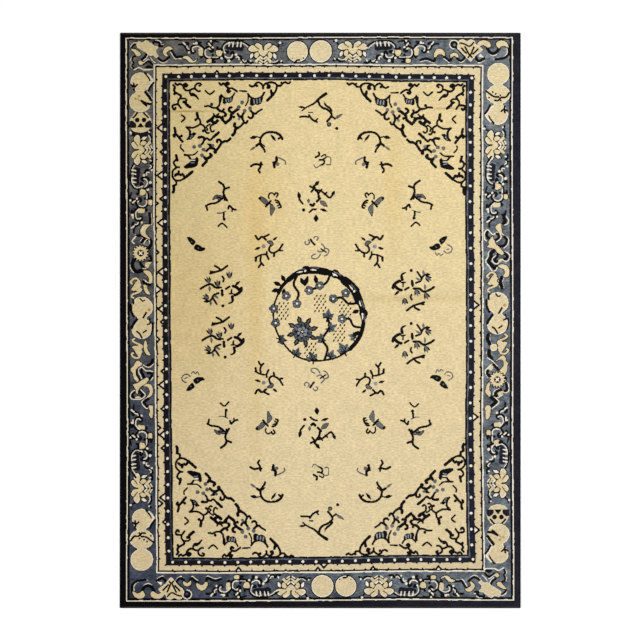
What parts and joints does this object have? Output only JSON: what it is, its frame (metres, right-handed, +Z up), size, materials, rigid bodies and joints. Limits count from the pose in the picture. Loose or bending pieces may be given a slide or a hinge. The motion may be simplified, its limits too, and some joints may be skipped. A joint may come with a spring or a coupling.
{
  "type": "hand-knotted wool carpet",
  "caption": "Room-size rectangular pile carpet that lies flat: cream field with a round centre ornament and flower sprays, slate border with lotus, gourds and ribbons, dark edge bands.",
  "frame": {"origin": "on the floor under the middle of the carpet", "axes": "+X across the warps towards the right side of the picture, +Y along the warps towards its top, +Z up out of the pile"},
  "size_m": [2.743, 3.937, 0.01],
  "materials": {
    "wool_pile": "sheared wool pile, matt, lightly worn, cream, ivory, slate blue and blue-black yarns",
    "cotton_ground": "undyed cotton warps and wefts, plain weave, matt, greyed with age"
  },
  "bodies": {
    "root": {"rug": "wool_pile"}
  },
  "joints": []
}
